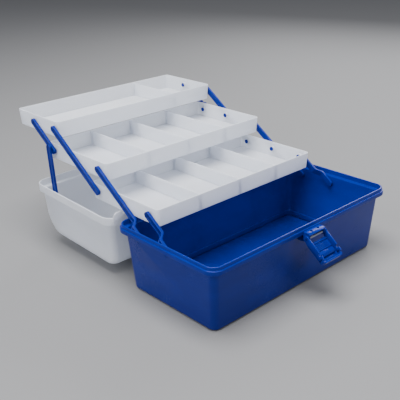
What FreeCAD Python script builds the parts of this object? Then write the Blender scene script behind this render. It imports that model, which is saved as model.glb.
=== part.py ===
import FreeCAD, Part
import math
import os
from FreeCAD import Vector

# Sewing box with cantilever trays, opened flat: a tub, a translucent lid hinged
# behind it, and three trays carried on parallel arms at both ends.
# Millimetres. X runs along the box, Y from the latch side to the hinge side, Z is up.
# The origin is the middle of the tub's underside.

# ---- tub -------------------------------------------------------------------
RIM_HALF_LENGTH = 170.0
RIM_HALF_DEPTH = 89.0
RIM_RADIUS = 15.0
TUB_HEIGHT = 94.0
TUB_WALL = 2.2
TUB_FLOOR = 2.4
FOOT_INSET = 11.5          # rim edge to foot of the wall
NECK_INSET = 6.0           # rim edge to the wall just under the rim
NECK_RADIUS = 10.0
RIM_LIP_HEIGHT = 4.4       # upper lip that the lid drops over
RIM_BAND_HEIGHT = 6.2      # outer band under the lip
RIM_BAND_REACH = 1.8       # how far the band stands out past the lip
RIM_LIP_WALL = 2.2
RIM_LEDGE_DROP = 7.0       # rim top to the inner ledge
LEDGE_THICKNESS = 2.0
SKIRTING_HEIGHT = 9.0      # thickened foot of the wall inside
SKIRTING_PROUD = 1.0
TUB_FOOT_FILLET = 5.0

# ---- linkage ---------------------------------------------------------------
BACK_PIN_INSET = 35.5      # tub rim edge to its back pins, so the arms clear the rim
ARM_LENGTH = 59.5          # pin to pin on one stage of an arm
FIRST_PIVOT_Y = 0.0        # front pin on the tub
FIRST_PIVOT_DROP = 17.0    # pins of the tub below its rim
TRAY_OVER_RIM = 3.33       # bottom tray above the tub's rim, box open
ARM_WIDTH = 8.6
ARM_THICKNESS = 3.8
ARM_GROOVE = 0.9           # depth of the channel down the outside of an arm
ARM_GROOVE_WIDTH = 4.2
ARM_SIDE_GAP = 0.7         # tray rim to arm
FOOT_SIDE_GAP = 0.7        # tub wall to the foot of an arm
CRANK_START = 18.0         # straight foot of a cranked arm, from the tub pin
CRANK_RUN = 11.0           # length of the crank itself
CRANK_EASE = 1.5           # outer face follows the inner one this much later
CRANK_TO_GROOVE = 6.0
STUD_END_INSET = 0.2       # end of a tub stud below the outside of the wall
STUD_RADIUS = 2.5
STUD_CLEARANCE = 0.08
STUD_HEAD_RADIUS = 3.3
STUD_HEAD_THICKNESS = 1.3
STUD_END_GAP = 0.35

# ---- trays -----------------------------------------------------------------
TRAY_END_ROOM = 22.5         # tub rim edge to tray rim, room for the arms
TRAY_HEIGHT = 24.0
TRAY_WALL = 1.6
TRAY_DRAFT = 1.3
TRAY_RADIUS = 5.0
TRAY_FRONT_OVERHANG = 17.0   # front edge to front pin
TRAY_BACK_OVERHANG = 16.5    # back pin to back edge
PIN_BELOW_RIM = 10.2
TOP_TRAY_OVERHANG = 7.5
TOP_TRAY_BACK_OVERHANG = 47.5
BOSS_RADIUS = 4.6
BOSS_HEIGHT = 1.3
DIVIDER_THICKNESS = 1.5
DIVIDER_DROP = 1.2           # divider top below the tray rim
DIVIDER_FIT = 0.15
GUIDE_THICKNESS = 1.4        # ribs that hold a divider
GUIDE_DEPTH = 2.2
TOP_DIVIDER_INSET = 75.5     # off-centre divider of the top tray, from the tray's end

# ---- lid -------------------------------------------------------------------
HINGE_BEHIND_RIM = 8.5
HINGE_DROP = 2.9             # hinge axis below the tub's rim
LID_OPEN_ANGLE = 178.5
LID_GAP = 0.35               # lid rim to tub lip and band
LID_RIM_REACH = 2.0          # lid rim past the tub rim edge
LID_RIM_WALL = 1.6
LID_RIM_HEIGHT = 12.0
LID_LESS_THAN_TUB = 13.6     # lid height is the tub's less this, so it lies open clear of the table
LID_WALL = 2.0
LID_NECK_INSET = 6.0         # rim edge to lid wall above the rim band
LID_CORNER_RADIUS = 17.0
LID_END_DRAFT = 5.5
LID_BACK_DRAFT = 3.8
LID_FRONT_DRAFT = 2.0
LID_END_RADIUS = 8.5         # rounding where the ends meet front, top and back
LID_BACK_RADIUS = 14.0       # rounding along the back of the top
LID_FRONT_RADIUS = 36.0      # large rounding along the front of the top

# ---- hinge -----------------------------------------------------------------
KNUCKLE_RADIUS = 4.2
KNUCKLE_WEB_DROP = 1.5       # top of the tub's web below the top of the band
KNUCKLE_WEB_RISE = 11.0      # top of the lid's web above the lid rim
HINGE_PIN_RADIUS = 1.6
HINGE_PIN_CLEARANCE = 0.08
HINGE_INSET = 58.0           # rim edge to the middle of a hinge
HINGE_KNUCKLE_LENGTH = 12.0
HINGE_KNUCKLE_GAP = 0.5
LEAF_LENGTH = 32.0           # from the middle of the hinge inwards, behind the tub's rim
LEAF_DROP = 3.0
LEAF_THICKNESS = 1.8
LEAF_GAP = 0.4               # tub rim band to leaf, lid closed
EAR_TRAY_GAP = 2.1           # tall rounded end of the leaf starts this far past the trays
EAR_INSET = 5.5              # rim edge to the ear's end
EAR_DROP = 8.2
EAR_RADIUS = 6.0

# ---- lid link --------------------------------------------------------------
LINK_TOP_ALONG_ARM = 8.0     # from the lower pin of the top arm
LINK_THICKNESS = 3.2
LINK_WIDTH = 9.4
LINK_SIDE_GAP = 0.5
LINK_BOSS_WALL = 1.4         # round the hole in the lid
LINK_CAP_RADIUS = 3.2
LINK_CAP_HEIGHT = 1.2
LINK_PIVOT_INSET = 29.0      # front rim edge to the lid pivot, lid closed
LINK_PIVOT_BELOW_TOP = 13.4  # lid pivot below the lid's top, lid closed

# ---- latch -----------------------------------------------------------------
LATCH_AXIS_OUT = 9.0         # latch pin in front of the rim edge
LATCH_AXIS_DROP = 13.5       # latch pin below the rim
LATCH_OPEN_ANGLE = 128.0
LATCH_BODY_WIDTH = 31.6
LATCH_ARM_THICKNESS = 2.4
LATCH_GAP = 0.4
LATCH_LENGTH = 37.5
LATCH_END_RADIUS = 4.0       # corners of the free end
LATCH_PIN_RADIUS = 1.5
LATCH_PIN_CLEARANCE = 0.08
LATCH_RAIL_HEIGHT = 7.0
LATCH_PLATE = 2.0
LATCH_PLATE_START = 6.0      # pin to the start of the plate
LATCH_EYE_RADIUS = 4.0
LATCH_NOTCH_SHARE = 0.62     # notch in the rails, as a share of the length
LATCH_NOTCH_LENGTH = 4.0
LATCH_NOTCH_DEPTH = 3.5
LATCH_END_HEIGHT = 4.5
LATCH_HOOK_HEIGHT = 3.4
LATCH_HOOK_INSET = 4.0
GRIP_BARS = 3
GRIP_BAR_WIDTH = 1.4
GRIP_BAR_PITCH = 3.4
GRIP_BAR_HEIGHT = 1.0
BRACKET_SHELF_RISE = 4.6     # shelf top above the bottom of the rim band
BRACKET_SHELF_THICKNESS = 2.4
BRACKET_SHELF_ROUND = 1.4    # chamfer on the shelf's front edge
BRACKET_NOSE = 3.4           # bracket past the latch pin
BRACKET_CHEEK = 2.6
BRACKET_FOOT_DROP = 6.0      # foot of the bracket below the latch pin
BRACKET_HOLE_X = 6.5
BRACKET_HOLE_RADIUS = 2.0
LATCH_CATCH_RISE = 4.5       # catch lip above the lid's rim band
LATCH_HOOK_LAP = 1.2         # hook over the catch lip, latch closed
LATCH_HOOK_GAP = 0.7         # hook above the catch lip
CATCH_GAP = 4.6              # latch plate to the catch lip
CATCH_LIP = 2.0              # width of the lip's flat top
CATCH_STEP = 1.5             # groove behind the lip
CATCH_ROOT = 3.0             # root of the catch above its lip
CATCH_INSET = 3.0            # end of the catch from the end of the bracket

# ---- handle ----------------------------------------------------------------
HANDLE_LENGTH = 132.0
HANDLE_DROP = 40.0
HANDLE_BAR = 11.0
HANDLE_ROUNDING = 1.4        # outer corner radius in bar widths
HANDLE_THICKNESS = 11.5
HANDLE_AXIS_Y = 0.0          # pivot over the middle of the box, lid closed
HANDLE_AXIS_HEIGHT = 8.0     # pivot above the lid top
HANDLE_PIN_RADIUS = 2.0
HANDLE_PIN_CLEARANCE = 0.08
HANDLE_SIDE_GAP = 0.4
HANDLE_BLOCK_LENGTH = 12.0
HANDLE_BLOCK_DEPTH = 14.0
HANDLE_BLOCK_DROP = 1.0      # top of a block below the top of the handle

os.makedirs("parts", exist_ok=True)

X_AXIS = Vector(1, 0, 0)
TINY = 0.01
PAST = 1.0                   # how far a cutter runs past what it cuts

NECK_HALF_LENGTH = RIM_HALF_LENGTH - NECK_INSET
NECK_HALF_DEPTH = RIM_HALF_DEPTH - NECK_INSET
BAND_TOP = TUB_HEIGHT - RIM_LIP_HEIGHT
BAND_BOTTOM = BAND_TOP - RIM_BAND_HEIGHT
LEDGE_Z = TUB_HEIGHT - RIM_LEDGE_DROP
HINGE_Y = RIM_HALF_DEPTH + HINGE_BEHIND_RIM
LID_RIM_Z = BAND_TOP + LID_GAP
LID_HEIGHT = TUB_HEIGHT - LID_LESS_THAN_TUB
LID_TOP_Z = LID_RIM_Z + LID_HEIGHT
LINK_PIVOT_HEIGHT = LID_HEIGHT - LINK_PIVOT_BELOW_TOP
HINGE_Z = TUB_HEIGHT - HINGE_DROP
HINGE_CENTRE_X = RIM_HALF_LENGTH - HINGE_INSET
LEAF_START_X = HINGE_CENTRE_X - LEAF_LENGTH
PIVOT_SPACING = RIM_HALF_DEPTH - BACK_PIN_INSET - FIRST_PIVOT_Y
TRAY_HALF_LENGTH = RIM_HALF_LENGTH - TRAY_END_ROOM
TRAY_DEPTH = TRAY_FRONT_OVERHANG + 2 * PIVOT_SPACING + TRAY_BACK_OVERHANG
TOP_TRAY_DEPTH = TOP_TRAY_OVERHANG + PIVOT_SPACING + TOP_TRAY_BACK_OVERHANG
TOP_DIVIDER_X = TRAY_HALF_LENGTH - TOP_DIVIDER_INSET
EAR_START_X = TRAY_HALF_LENGTH + EAR_TRAY_GAP
EAR_END_X = RIM_HALF_LENGTH - EAR_INSET
FIRST_PIVOT_Z = TUB_HEIGHT - FIRST_PIVOT_DROP
STAGE_LIFT = FIRST_PIVOT_DROP + TRAY_OVER_RIM + TRAY_HEIGHT - PIN_BELOW_RIM
OPEN_ANGLE = math.degrees(math.asin(STAGE_LIFT / ARM_LENGTH))
ARM_INNER_X = TRAY_HALF_LENGTH + ARM_SIDE_GAP
ARM_OUTER_X = ARM_INNER_X + ARM_THICKNESS
LINK_INNER_X = ARM_OUTER_X + LINK_SIDE_GAP
LINK_OUTER_X = LINK_INNER_X + LINK_THICKNESS
HINGE_POINT = Vector(0, HINGE_Y, HINGE_Z)


def export(name, shape):
    shape.exportStep("parts/" + name + ".step")


def outline(half_x, half_y, radius, z, centre_y=0.0):
    """Rounded rectangle as a closed wire, counter-clockwise seen from above."""
    edges = []
    corners = [(1, -1, -90), (1, 1, 0), (-1, 1, 90), (-1, -1, 180)]
    arcs = []
    for sign_x, sign_y, start in corners:
        centre = Vector(sign_x * (half_x - radius), centre_y + sign_y * (half_y - radius), z)
        circle = Part.Circle(centre, Vector(0, 0, 1), radius)
        arcs.append(Part.Arc(circle, math.radians(start), math.radians(start + 90)))
    for index, arc in enumerate(arcs):
        following = arcs[(index + 1) % len(arcs)]
        edges.append(arc.toShape())
        edges.append(Part.LineSegment(arc.EndPoint, following.StartPoint).toShape())
    return Part.Wire(edges)


def tapered(lower, upper):
    return Part.makeLoft([outline(*lower), outline(*upper)], True, True)


def straight(half_x, half_y, radius, z_low, z_high, centre_y=0.0):
    face = Part.Face(outline(half_x, half_y, radius, z_low, centre_y))
    return face.extrude(Vector(0, 0, z_high - z_low))


def box(x_low, x_high, y_low, y_high, z_low, z_high):
    size = (x_high - x_low, y_high - y_low, z_high - z_low)
    return Part.makeBox(*size, Vector(x_low, y_low, z_low))


def rod(x_low, x_high, y, z, radius):
    return Part.makeCylinder(radius, x_high - x_low, Vector(x_low, y, z), X_AXIS)


def plate(points, x_low, x_high):
    """Closed polygon of (y, z) points, extruded along X."""
    corners = [Vector(x_low, y, z) for y, z in points]
    face = Part.Face(Part.makePolygon(corners + corners[:1]))
    return face.extrude(Vector(x_high - x_low, 0, 0))


def join(shapes):
    body = shapes[0]
    for shape in shapes[1:]:
        body = body.fuse(shape)
    return body.removeSplitter()


def mirrored(shape):
    return shape.mirror(Vector(0, 0, 0), X_AXIS)


def both_ends(shape):
    return [shape, mirrored(shape)]


def bottom_edges(shape, z):
    return [edge for edge in shape.Edges if abs(edge.BoundBox.ZMax - z) < TINY]


# ---- pins of the linkage ---------------------------------------------------
def stage(angle):
    radians = math.radians(angle)
    return Vector(0, ARM_LENGTH * math.cos(radians), ARM_LENGTH * math.sin(radians))


STEP = stage(OPEN_ANGLE)
SPACING = Vector(0, PIVOT_SPACING, 0)
TUB_FRONT_PIN = Vector(0, FIRST_PIVOT_Y, FIRST_PIVOT_Z)
TUB_BACK_PIN = TUB_FRONT_PIN + SPACING
BOTTOM_FRONT_PIN = TUB_FRONT_PIN + STEP
MIDDLE_FRONT_PIN = BOTTOM_FRONT_PIN + SPACING + STEP
TOP_FRONT_PIN = MIDDLE_FRONT_PIN + SPACING + STEP


# ---- tub -------------------------------------------------------------------
def neck_inset_at(z):
    share = z / BAND_BOTTOM
    return FOOT_INSET + (NECK_INSET - FOOT_INSET) * share


def tub_section(z, thinner=0.0):
    inset = neck_inset_at(z) + thinner
    return (RIM_HALF_LENGTH - inset, RIM_HALF_DEPTH - inset, NECK_RADIUS - thinner, z)


def make_tub():
    body = tapered(tub_section(0.0), tub_section(LEDGE_Z))
    body = body.makeFillet(TUB_FOOT_FILLET, bottom_edges(body, 0.0))
    reach = RIM_BAND_REACH
    band = straight(RIM_HALF_LENGTH + reach, RIM_HALF_DEPTH + reach, RIM_RADIUS + reach,
                    BAND_BOTTOM, BAND_TOP)
    lip = straight(RIM_HALF_LENGTH, RIM_HALF_DEPTH, RIM_RADIUS, BAND_TOP, TUB_HEIGHT)
    body = body.fuse(band).fuse(lip)
    lower = tub_section(TUB_FLOOR, TUB_WALL + SKIRTING_PROUD)
    upper = tub_section(TUB_FLOOR + SKIRTING_HEIGHT, TUB_WALL + SKIRTING_PROUD)
    body = body.cut(tapered(lower, upper))
    lower = tub_section(TUB_FLOOR + SKIRTING_HEIGHT, TUB_WALL)
    body = body.cut(tapered(lower, tub_section(LEDGE_Z + TINY, TUB_WALL)))
    inner = RIM_LIP_WALL
    body = body.cut(straight(RIM_HALF_LENGTH - inner, RIM_HALF_DEPTH - inner,
                             RIM_RADIUS - inner, LEDGE_Z, TUB_HEIGHT + TINY))
    under = LEDGE_Z - LEDGE_THICKNESS
    groove = straight(RIM_HALF_LENGTH + reach - RIM_LIP_WALL,
                      RIM_HALF_DEPTH + reach - RIM_LIP_WALL,
                      RIM_RADIUS + reach - RIM_LIP_WALL, BAND_BOTTOM - TINY, under)
    groove = groove.cut(tapered(tub_section(0.0), tub_section(LEDGE_Z)))
    body = body.cut(groove)
    for pin in (TUB_FRONT_PIN, TUB_BACK_PIN):
        radius = STUD_RADIUS + STUD_CLEARANCE
        body = body.cut(rod(-RIM_HALF_LENGTH, RIM_HALF_LENGTH, pin.y, pin.z, radius))
    body = body.fuse(make_tub_knuckles()).fuse(make_latch_bracket())
    return body.removeSplitter()


# ---- hinge -----------------------------------------------------------------
def knuckle(x_low, x_high, root):
    """Barrel round the hinge axis with a web back to its own rim."""
    return rod(x_low, x_high, HINGE_Y, HINGE_Z, KNUCKLE_RADIUS).fuse(root)


def hinge_bore(x_low, x_high):
    radius = HINGE_PIN_RADIUS + HINGE_PIN_CLEARANCE
    return rod(x_low - PAST, x_high + PAST, HINGE_Y, HINGE_Z, radius)


def make_tub_knuckles():
    """A middle barrel at each hinge, on a web that leaves the band of the rim."""
    half = HINGE_KNUCKLE_LENGTH / 2
    parts = []
    for sign in (-1, 1):
        low = sign * HINGE_CENTRE_X - half
        high = sign * HINGE_CENTRE_X + half
        root_y = RIM_HALF_DEPTH + RIM_BAND_REACH - RIM_LIP_WALL / 2
        web = plate([(root_y, BAND_BOTTOM), (HINGE_Y, HINGE_Z - KNUCKLE_RADIUS),
                     (HINGE_Y, HINGE_Z), (root_y, BAND_TOP - KNUCKLE_WEB_DROP)], low, high)
        parts.append(knuckle(low, high, web).cut(hinge_bore(low, high)))
    return parts[0].fuse(parts[1])


def knuckle_ranges(sign):
    """The two outer barrels of one hinge, which belong to the lid."""
    inner = HINGE_KNUCKLE_LENGTH / 2 + HINGE_KNUCKLE_GAP
    outer = inner + HINGE_KNUCKLE_LENGTH
    centre = sign * HINGE_CENTRE_X
    return [(centre - outer, centre - inner), (centre + inner, centre + outer)]


def make_lid_knuckles():
    """The lid's barrels, each on a web from the back of its rim, lid closed."""
    root = RIM_HALF_DEPTH + LID_RIM_REACH - LID_RIM_WALL / 2
    top = LID_RIM_Z + KNUCKLE_WEB_RISE
    parts = []
    for sign in (-1, 1):
        for low, high in knuckle_ranges(sign):
            web = plate([(root, HINGE_Z), (HINGE_Y, HINGE_Z),
                         (HINGE_Y + KNUCKLE_RADIUS, HINGE_Z), (root, top)], low, high)
            parts.append(knuckle(low, high, web).cut(hinge_bore(low, high)))
    return parts


def make_hinge_pins():
    half = HINGE_KNUCKLE_LENGTH * 1.5 + HINGE_KNUCKLE_GAP
    pins = []
    for sign in (-1, 1):
        centre = sign * HINGE_CENTRE_X
        pins.append(rod(centre - half, centre + half, HINGE_Y, HINGE_Z, HINGE_PIN_RADIUS))
    return Part.makeCompound(pins)


# ---- lid -------------------------------------------------------------------
def lid_inset_at(height, draft):
    return LID_NECK_INSET + draft * (height - LID_RIM_HEIGHT) / (LID_HEIGHT - LID_RIM_HEIGHT)


def lid_half_length(height):
    return RIM_HALF_LENGTH + LID_RIM_REACH - lid_inset_at(height, LID_END_DRAFT)


def lid_rectangle(height, thinner, z):
    """Sharp-cornered plan of the lid body, drafted, lid closed."""
    half_x = lid_half_length(height) - thinner
    edge = RIM_HALF_DEPTH + LID_RIM_REACH
    back = edge - lid_inset_at(height, LID_BACK_DRAFT) - thinner
    front = -edge + lid_inset_at(height, LID_FRONT_DRAFT) + thinner
    corners = [(-half_x, front), (half_x, front), (half_x, back), (-half_x, back)]
    points = [Vector(x, y, z) for x, y in corners]
    return Part.makePolygon(points + points[:1])


def lid_body(thinner=0.0):
    """Drafted block with a deep front rounding, smaller at the back and ends."""
    base = LID_RIM_HEIGHT - LID_RIM_WALL * 1.3
    top = LID_HEIGHT - thinner
    lower = lid_rectangle(base, thinner, LID_RIM_Z + base)
    upper = lid_rectangle(top, thinner, LID_RIM_Z + top)
    body = Part.makeLoft([lower, upper], True, True)
    along = [edge for edge in bottom_edges_at(body, LID_RIM_Z + top) if is_along_x(edge)]
    front, back = sorted(along, key=lambda edge: edge.BoundBox.YMin)
    body = body.makeFillet(LID_FRONT_RADIUS - thinner, [front])
    along = [edge for edge in bottom_edges_at(body, LID_RIM_Z + top) if is_along_x(edge)]
    back = max(along, key=lambda edge: edge.BoundBox.YMin)
    body = body.makeFillet(LID_BACK_RADIUS - thinner, [back])
    end_x = lid_half_length(top) - thinner
    ends = [edge for edge in body.Edges if is_end_edge(edge, end_x, LID_RIM_Z + base)]
    return body.makeFillet(LID_END_RADIUS - thinner, ends)


def is_along_x(edge):
    box = edge.BoundBox
    return box.XLength > RIM_HALF_LENGTH


def is_end_edge(edge, end_x, base_z):
    box = edge.BoundBox
    on_end = min(abs(box.XMin), abs(box.XMax)) > end_x - TINY and box.XLength < RIM_HALF_LENGTH
    return on_end and box.ZMax > base_z + TINY


def bottom_edges_at(shape, z):
    return [edge for edge in shape.Edges
            if abs(edge.BoundBox.ZMax - z) < TINY and abs(edge.BoundBox.ZMin - z) < TINY]


def leaf_plate(sign):
    """Leaf that hangs below the lid's rim behind the tub, with its tall rounded ear."""
    front_y = RIM_HALF_DEPTH + RIM_BAND_REACH + LEAF_GAP
    top = LID_RIM_Z + LID_RIM_HEIGHT / 2
    low = LID_RIM_Z - LEAF_DROP
    ear_low = LID_RIM_Z - EAR_DROP
    points = [(LEAF_START_X, top), (LEAF_START_X, low), (EAR_START_X, low),
              (EAR_START_X, ear_low), (EAR_END_X, ear_low), (EAR_END_X, top)]
    corners = [Vector(sign * x, front_y, z) for x, z in points]
    leaf = Part.Face(Part.makePolygon(corners + corners[:1]))
    leaf = leaf.extrude(Vector(0, LEAF_THICKNESS, 0))
    corner = [edge for edge in leaf.Edges
              if edge.BoundBox.YLength > LEAF_THICKNESS - TINY
              and abs(edge.BoundBox.ZMin - ear_low) < TINY
              and abs(edge.BoundBox.XMax * sign - EAR_END_X) < EAR_RADIUS]
    return leaf.makeFillet(EAR_RADIUS, corner)


def leaf_slot(sign):
    """Gap in the leaf and rim round the tub's own barrel."""
    half = HINGE_KNUCKLE_LENGTH / 2 + HINGE_KNUCKLE_GAP
    centre = sign * HINGE_CENTRE_X
    edge = RIM_HALF_DEPTH + LID_RIM_REACH
    return box(centre - half, centre + half, edge - LID_RIM_WALL - PAST, HINGE_Y,
               LID_RIM_Z - LEAF_DROP - PAST, HINGE_Z + KNUCKLE_RADIUS + HINGE_KNUCKLE_GAP)


def make_lid():
    rim_x = RIM_HALF_LENGTH + LID_RIM_REACH
    rim_y = RIM_HALF_DEPTH + LID_RIM_REACH
    shell = straight(rim_x, rim_y, LID_CORNER_RADIUS, LID_RIM_Z, LID_RIM_Z + LID_RIM_HEIGHT)
    shell = shell.fuse(lid_body())
    hollow = straight(rim_x - LID_RIM_WALL, rim_y - LID_RIM_WALL,
                      LID_CORNER_RADIUS - LID_RIM_WALL, LID_RIM_Z - TINY,
                      LID_RIM_Z + LID_RIM_HEIGHT - LID_RIM_WALL)
    shell = shell.cut(hollow.fuse(lid_body(LID_WALL)))
    for sign in (-1, 1):
        leaf = leaf_plate(sign)
        web_low = min(sign * LEAF_START_X, sign * EAR_END_X)
        web_high = max(sign * LEAF_START_X, sign * EAR_END_X)
        web = box(web_low, web_high, rim_y - LID_RIM_WALL,
                  RIM_HALF_DEPTH + RIM_BAND_REACH + LEAF_GAP + TINY,
                  LID_RIM_Z + LID_RIM_HEIGHT / 4, LID_RIM_Z + LID_RIM_HEIGHT / 2)
        shell = shell.fuse(leaf).fuse(web).cut(leaf_slot(sign))
    for part in make_lid_knuckles():
        shell = shell.fuse(part)
    for part in both_ends(link_boss()):
        shell = shell.fuse(part)
    pivot = link_pivot_closed()
    radius = STUD_RADIUS + STUD_CLEARANCE
    shell = shell.cut(rod(-RIM_HALF_LENGTH, RIM_HALF_LENGTH, pivot.y, pivot.z, radius))
    return shell.removeSplitter()


def link_pivot_closed():
    return Vector(0, LINK_PIVOT_INSET - RIM_HALF_DEPTH, LID_RIM_Z + LINK_PIVOT_HEIGHT)


def link_boss():
    """Round boss inside the lid's end wall, facing the foot of the lid link."""
    pivot = link_pivot_closed()
    wall = lid_half_length(LINK_PIVOT_HEIGHT) - LID_WALL
    inner = LINK_OUTER_X + LINK_SIDE_GAP
    return rod(inner, wall + LID_WALL / 2, pivot.y, pivot.z, STUD_RADIUS + LINK_BOSS_WALL)


def opened(shape):
    """Swings a piece that belongs to the closed lid into the open position."""
    turned = shape.copy()
    turned.rotate(HINGE_POINT, X_AXIS, -LID_OPEN_ANGLE)
    return turned


def open_point(point):
    angle = math.radians(-LID_OPEN_ANGLE)
    y = point.y - HINGE_Y
    z = point.z - HINGE_Z
    return Vector(point.x, HINGE_Y + y * math.cos(angle) - z * math.sin(angle),
                  HINGE_Z + y * math.sin(angle) + z * math.cos(angle))


def catch_lip_y():
    """Front face of the catch lip, lid closed."""
    return LATCH_Y - LATCH_RAIL_HEIGHT / 2 + CATCH_GAP


def make_lid_catch():
    """Ledge on the lid's front that the latch hooks over, lid closed."""
    root = -(RIM_HALF_DEPTH + LID_RIM_REACH) + LID_NECK_INSET + LID_WALL / 2
    low = LID_RIM_Z + LID_RIM_HEIGHT
    half = LATCH_BODY_WIDTH / 2 - CATCH_INSET
    lip = catch_lip_y()
    top = low + LATCH_CATCH_RISE
    catch = plate([(root, low), (lip, low), (lip, top), (lip + CATCH_LIP, top),
                   (lip + CATCH_LIP, top - CATCH_STEP), (root, top + CATCH_ROOT)], -half, half)
    return catch.cut(lid_body())


# ---- trays -----------------------------------------------------------------
def tray_boss(wall_in, wall_out, y, z):
    return rod(wall_in - BOSS_HEIGHT, wall_out, y, z, BOSS_RADIUS)


def tray_shell(front_pin, depth, overhang, pin_count):
    """Open box with thin drafted walls; its end walls carry the pin bosses."""
    front = front_pin.y - overhang
    centre = front + depth / 2
    rim = front_pin.z + PIN_BELOW_RIM
    floor = rim - TRAY_HEIGHT
    half_x = TRAY_HALF_LENGTH
    half_y = depth / 2
    draft = TRAY_DRAFT
    shell = tapered((half_x - draft, half_y - draft, TRAY_RADIUS, floor, centre),
                    (half_x, half_y, TRAY_RADIUS, rim, centre))
    shell = shell.makeFillet(TRAY_WALL, bottom_edges(shell, floor))
    inner = TRAY_WALL
    radius = TRAY_RADIUS - inner
    lift = inner / TRAY_HEIGHT * draft
    shell = shell.cut(tapered(
        (half_x - draft + lift - inner, half_y - draft + lift - inner, radius, floor + inner, centre),
        (half_x - inner, half_y - inner, radius, rim + TINY, centre)))
    wall_in = half_x - draft - inner
    for index in range(pin_count):
        y = front_pin.y + index * PIVOT_SPACING
        for boss in both_ends(tray_boss(wall_in, half_x - inner, y, front_pin.z)):
            shell = shell.fuse(boss)
    for index in range(pin_count):
        y = front_pin.y + index * PIVOT_SPACING
        hole = rod(-half_x - PAST, half_x + PAST, y, front_pin.z, STUD_RADIUS + STUD_CLEARANCE)
        shell = shell.cut(hole)
    return shell, front, rim


def add_guides(shell, front, rim, depth, places):
    """Pairs of upright ribs on front and back walls that hold a divider."""
    floor = rim - TRAY_HEIGHT + TRAY_WALL
    gap = DIVIDER_THICKNESS / 2 + DIVIDER_FIT
    middle = front + depth / 2
    half_y = depth / 2 - TRAY_WALL / 2
    half_x = TRAY_HALF_LENGTH
    within = tapered((half_x - TRAY_DRAFT, half_y - TRAY_DRAFT, TRAY_RADIUS, rim - TRAY_HEIGHT, middle),
                     (half_x, half_y, TRAY_RADIUS, rim, middle))
    for place in places:
        for side in (-1, 1):
            low = place + (gap if side > 0 else -gap - GUIDE_THICKNESS)
            high = low + GUIDE_THICKNESS
            at_front = box(low, high, front, front + TRAY_WALL + GUIDE_DEPTH,
                           floor - TRAY_WALL / 2, rim - DIVIDER_DROP)
            back = front + depth
            at_back = box(low, high, back - TRAY_WALL - GUIDE_DEPTH, back,
                          floor - TRAY_WALL / 2, rim - DIVIDER_DROP)
            shell = shell.fuse(at_front.common(within)).fuse(at_back.common(within))
    return shell.removeSplitter()


def make_divider(place, front, rim, depth):
    """Loose upright wall that slides down between the guide ribs."""
    floor = rim - TRAY_HEIGHT + TRAY_WALL + DIVIDER_FIT
    top = rim - DIVIDER_DROP
    low_in = TRAY_WALL + TRAY_DRAFT + DIVIDER_FIT
    top_in = TRAY_WALL + DIVIDER_FIT + TRAY_DRAFT * DIVIDER_DROP / TRAY_HEIGHT
    back = front + depth
    half = DIVIDER_THICKNESS / 2
    return plate([(front + low_in, floor), (back - low_in, floor),
                  (back - top_in, top), (front + top_in, top)], place - half, place + half)


# ---- arms ------------------------------------------------------------------
def arm_blank(start, end, x_low, x_high, width):
    """Flat bar with round ends between two pins."""
    along = end - start
    length = along.Length
    angle = math.degrees(math.atan2(along.z, along.y))
    bar = box(x_low, x_high, 0, length, -width / 2, width / 2)
    bar = bar.fuse(rod(x_low, x_high, 0, 0, width / 2))
    bar = bar.fuse(rod(x_low, x_high, length, 0, width / 2))
    bar = bar.removeSplitter()
    bar.rotate(Vector(0, 0, 0), X_AXIS, angle)
    bar.translate(Vector(0, start.y, start.z))
    return bar


def arm_groove(start, end, x_outer, width, start_cut, end_cut):
    """Shallow channel down the outside face of an arm."""
    along = end - start
    unit = along.normalize()
    low = start + unit * start_cut
    high = end - unit * end_cut
    return arm_blank(low, high, x_outer - ARM_GROOVE, x_outer + PAST, width)


def tray_stud(pin, x_outer):
    """Stud through the end wall of a tray, with a head inside the boss."""
    wall_in = TRAY_HALF_LENGTH - TRAY_DRAFT - TRAY_WALL
    head_x = wall_in - BOSS_HEIGHT - STUD_END_GAP
    shank = rod(head_x - TINY, x_outer, pin.y, pin.z, STUD_RADIUS)
    head = rod(head_x - STUD_HEAD_THICKNESS, head_x, pin.y, pin.z, STUD_HEAD_RADIUS)
    return shank.fuse(head)


def plain_arm(start, end, pins):
    arm = arm_blank(start, end, ARM_INNER_X, ARM_OUTER_X, ARM_WIDTH)
    arm = arm.cut(arm_groove(start, end, ARM_OUTER_X, ARM_GROOVE_WIDTH, 0.0, 0.0))
    for pin in pins:
        arm = arm.fuse(tray_stud(pin, ARM_OUTER_X - ARM_GROOVE - TINY))
    return arm.removeSplitter()


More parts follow.
